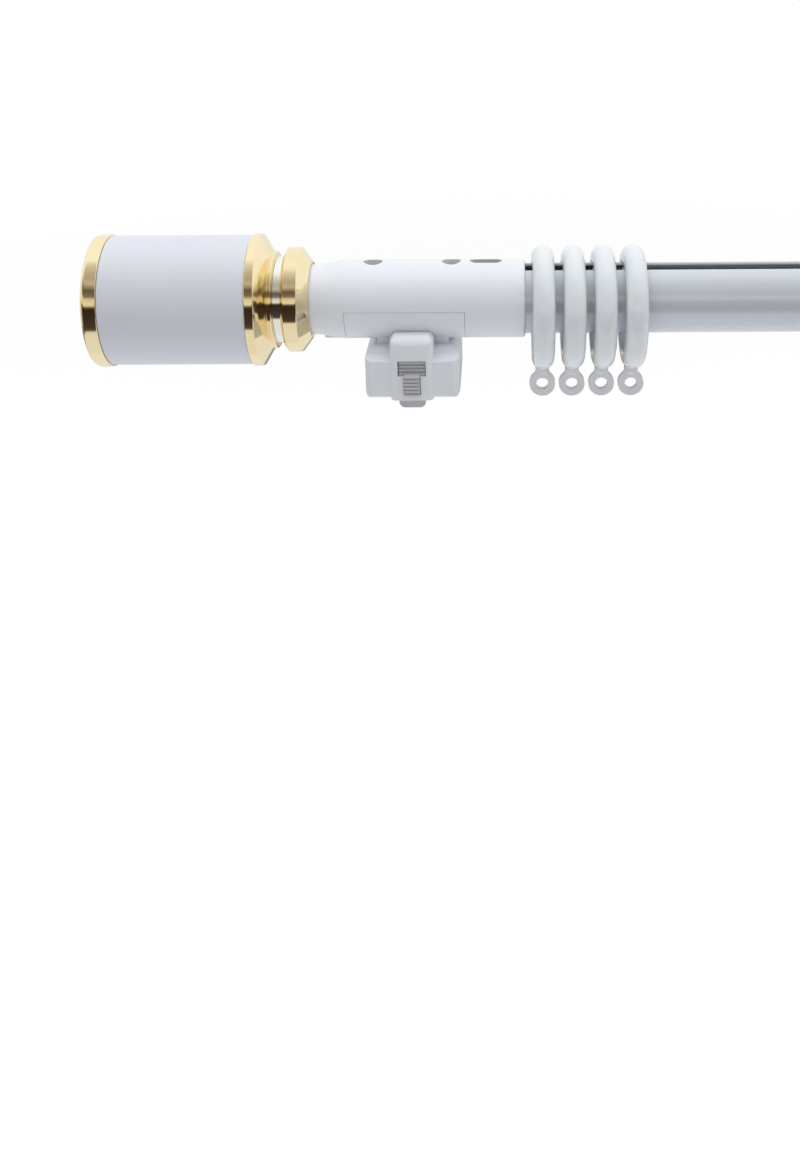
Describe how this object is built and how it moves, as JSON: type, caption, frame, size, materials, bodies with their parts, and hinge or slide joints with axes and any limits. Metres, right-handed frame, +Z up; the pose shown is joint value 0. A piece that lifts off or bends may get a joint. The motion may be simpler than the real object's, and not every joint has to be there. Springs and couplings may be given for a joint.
{
  "type": "electric curtain track",
  "caption": "Slotted curtain rod with an inner drive belt, a motor coupling with a sprung latch at one end, an idler at the other, finials and sliding rings.",
  "frame": {"origin": "on the drive axis, at the mouth of the motor shaft bore", "axes": "+X along the rod towards the return end, -Y towards the room, +Z up"},
  "size_m": [1.0196, 0.065, 0.0839],
  "materials": {
    "rod_paint": "gloss white paint",
    "belt_rubber": "matt black",
    "white_plastic": "satin white moulding",
    "nickel": "nickel plate",
    "latch_grey": "satin grey moulding",
    "steel": "turned steel",
    "brown_resin": "brown bearing resin",
    "bronze": "sintered bronze",
    "runner_plastic": "natural acetal",
    "ring_white": "gloss white lacquer",
    "eye_grey": "pale grey moulding",
    "gold": "polished gold plate",
    "barrel_white": "satin white paint",
    "silver": "polished silver band"
  },
  "bodies": {
    "track": {"rod": "rod_paint", "belt": "belt_rubber", "drive_housing": "white_plastic", "coupling_housing": "white_plastic", "coupling_plate": "white_plastic", "bayonet_ring": "white_plastic", "plate_screws": "nickel", "housing_screws": "nickel", "latch_spring": "steel", "lower_bearing": "brown_resin", "upper_bearing": "bronze", "idler_housing": "white_plastic", "idler_axle": "steel", "idler_carrier": "runner_plastic", "tension_screw": "nickel", "finial_cap": "gold", "finial_barrel": "barrel_white", "finial_flange": "gold", "finial_neck": "silver", "finial_ring": "gold", "finial_spigot": "steel", "finial_bolt": "steel", "finial_set_screw": "nickel", "far_finial_cap": "gold", "far_finial_barrel": "barrel_white", "far_finial_flange": "gold", "far_finial_neck": "silver", "far_finial_ring": "gold", "far_finial_spigot": "steel", "far_finial_bolt": "steel", "far_finial_set_screw": "nickel"},
    "latch_slider": {"latch": "latch_grey"},
    "drive_spindle": {"drive_shaft": "steel", "drive_pulley": "steel"},
    "idler_wheel": {"idler_pulley": "steel"},
    "ring_set_1": {"ring_1": "ring_white", "runner_1": "runner_plastic"},
    "hook_1": {"eye_1": "eye_grey"},
    "ring_set_2": {"ring_2": "ring_white", "runner_2": "runner_plastic"},
    "hook_2": {"eye_2": "eye_grey"},
    "ring_set_3": {"ring_3": "ring_white", "runner_3": "runner_plastic"},
    "hook_3": {"eye_3": "eye_grey"},
    "ring_set_4": {"ring_4": "ring_white", "runner_4": "runner_plastic", "belt_clamp": "runner_plastic"},
    "hook_4": {"eye_4": "eye_grey"}
  },
  "joints": [
    {"name": "lead_ring_slide", "type": "slide", "parent": "track", "child": "ring_set_4", "axis": [1, 0, 0], "range_m": [0, 0.54]},
    {"name": "ring_1_slide", "type": "slide", "parent": "track", "child": "ring_set_1", "axis": [1, 0, 0], "range_m": [0, 0.135]},
    {"name": "ring_2_slide", "type": "slide", "parent": "track", "child": "ring_set_2", "axis": [1, 0, 0], "range_m": [0, 0.27]},
    {"name": "ring_3_slide", "type": "slide", "parent": "track", "child": "ring_set_3", "axis": [1, 0, 0], "range_m": [0, 0.405]},
    {"name": "drive_spin", "type": "hinge", "parent": "track", "child": "drive_spindle", "pos_m": [0, 0, 0.041], "axis": [0, 0, 1], "range_deg": [0, 3241]},
    {"name": "idler_spin", "type": "hinge", "parent": "track", "child": "idler_wheel", "pos_m": [0.71, 0, 0.041], "axis": [0, 0, 1], "range_deg": [0, 3241]},
    {"name": "hook_1_swivel", "type": "hinge", "parent": "ring_set_1", "child": "hook_1", "pos_m": [0.06383, 0, -0.00394], "axis": [0, 0, 1], "continuous": true},
    {"name": "hook_2_swivel", "type": "hinge", "parent": "ring_set_2", "child": "hook_2", "pos_m": [0.07863, 0, -0.00394], "axis": [0, 0, 1], "continuous": true},
    {"name": "hook_3_swivel", "type": "hinge", "parent": "ring_set_3", "child": "hook_3", "pos_m": [0.09343, 0, -0.00394], "axis": [0, 0, 1], "continuous": true},
    {"name": "hook_4_swivel", "type": "hinge", "parent": "ring_set_4", "child": "hook_4", "pos_m": [0.10823, 0, -0.00394], "axis": [0, 0, 1], "continuous": true},
    {"name": "latch_slide", "type": "slide", "parent": "track", "child": "latch_slider", "axis": [0, 0, 1], "range_m": [0, 0.0043], "stiffness_N_per_m": 300, "springref_m": -0.003, "deforming": ["latch_spring"]}
  ],
  "couplings": [
    {"joint": "ring_1_slide", "follows": "lead_ring_slide", "ratio": 0.25},
    {"joint": "ring_2_slide", "follows": "lead_ring_slide", "ratio": 0.5},
    {"joint": "ring_3_slide", "follows": "lead_ring_slide", "ratio": 0.75},
    {"joint": "drive_spin", "follows": "lead_ring_slide", "rad_per_m": 104.72},
    {"joint": "idler_spin", "follows": "lead_ring_slide", "rad_per_m": 104.72}
  ]
}
